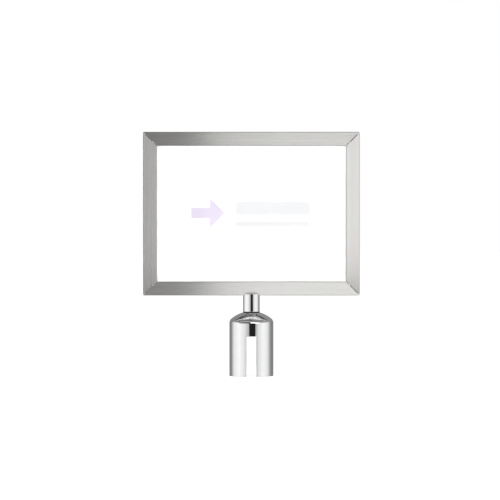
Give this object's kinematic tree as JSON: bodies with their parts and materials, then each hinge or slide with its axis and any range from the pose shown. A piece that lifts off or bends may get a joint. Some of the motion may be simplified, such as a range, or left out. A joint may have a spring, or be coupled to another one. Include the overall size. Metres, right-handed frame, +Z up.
{
  "type": "post-top sign frame",
  "caption": "Landscape metal sign frame on a short stem and a domed, slotted sleeve that slips over a barrier post's head; it swivels, and one side rail pulls off to change the card.",
  "frame": {"origin": "centre of the sleeve's open rim, on the axis that the stem and sleeve share", "axes": "+Z up along the stem, the front of the sign faces -Y, and the rail that pulls off is at +X"},
  "size_m": [0.33, 0.0672, 0.3718],
  "materials": {
    "brushed_rail": "brushed along each rail, clear anodised",
    "polished_chrome": "polished chrome plate on steel",
    "plated_steel": "zinc plated",
    "zinc_key": "die-cast zinc, as cast",
    "clear_cover": "clear acrylic sheet, polished",
    "sign_card": "printed white card",
    "black_nylon": "moulded black nylon"
  },
  "bodies": {
    "cap": {"cap_sleeve": "polished_chrome", "seat_plug": "black_nylon", "swivel_washer": "black_nylon"},
    "frame": {"top_rail": "brushed_rail", "bottom_rail": "brushed_rail", "left_rail": "brushed_rail", "corner_key_top_left": "zinc_key", "corner_key_bottom_left": "zinc_key", "key_screw_top_rail": "plated_steel", "key_screw_left_top": "plated_steel", "key_screw_bottom_rail": "plated_steel", "key_screw_left_bottom": "plated_steel", "nut_block": "plated_steel", "tie_rod": "plated_steel", "stem_tube": "polished_chrome", "stem_saddle_plug": "plated_steel", "stem_base_plug": "plated_steel", "plain_washer": "plated_steel", "spring_washer": "plated_steel", "lock_nut": "plated_steel"},
    "side_rail": {"side_rail": "brushed_rail", "side_key_top": "zinc_key", "side_key_bottom": "zinc_key", "key_screw_side_top": "plated_steel", "key_screw_side_bottom": "plated_steel"},
    "insert": {"front_cover": "clear_cover", "rear_cover": "clear_cover", "sign_card": "sign_card"}
  },
  "joints": [
    {"name": "swivel", "type": "hinge", "parent": "cap", "child": "frame", "pos_m": [0, 0, 0.0966], "axis": [0, 0, 1], "continuous": true},
    {"name": "side_rail_slide", "type": "slide", "parent": "frame", "child": "side_rail", "axis": [1, 0, 0], "range_m": [0, 0.15]},
    {"name": "insert_slide", "type": "slide", "parent": "frame", "child": "insert", "axis": [1, 0, 0], "range_m": [0, 0.12]}
  ],
  "couplings": [
    {"joint": "insert_slide", "follows": "side_rail_slide", "ratio": 0.8}
  ]
}
